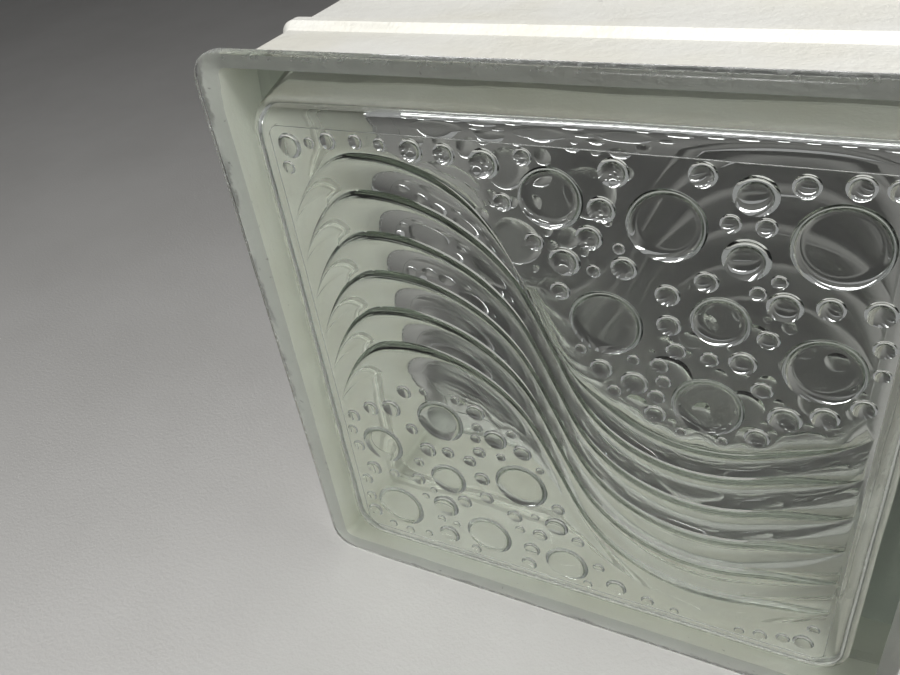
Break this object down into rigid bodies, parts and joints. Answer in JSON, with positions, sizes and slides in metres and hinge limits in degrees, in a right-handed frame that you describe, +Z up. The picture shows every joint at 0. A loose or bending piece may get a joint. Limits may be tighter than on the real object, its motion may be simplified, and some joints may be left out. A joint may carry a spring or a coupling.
{
  "type": "glass block",
  "caption": "Square hollow glass building block with moulded wave and bubble relief inside and a coated mortar channel round its edge.",
  "frame": {"origin": "centre of the block's underside, at mid width and mid depth", "axes": "+X along the width, +Y from the front face to the back face, +Z up"},
  "size_m": [0.19, 0.08, 0.19],
  "materials": {
    "glass": "polished",
    "coating": "matte"
  },
  "bodies": {
    "root": {"front_half": "glass", "back_half": "glass", "edge_coating": "coating"}
  },
  "joints": []
}
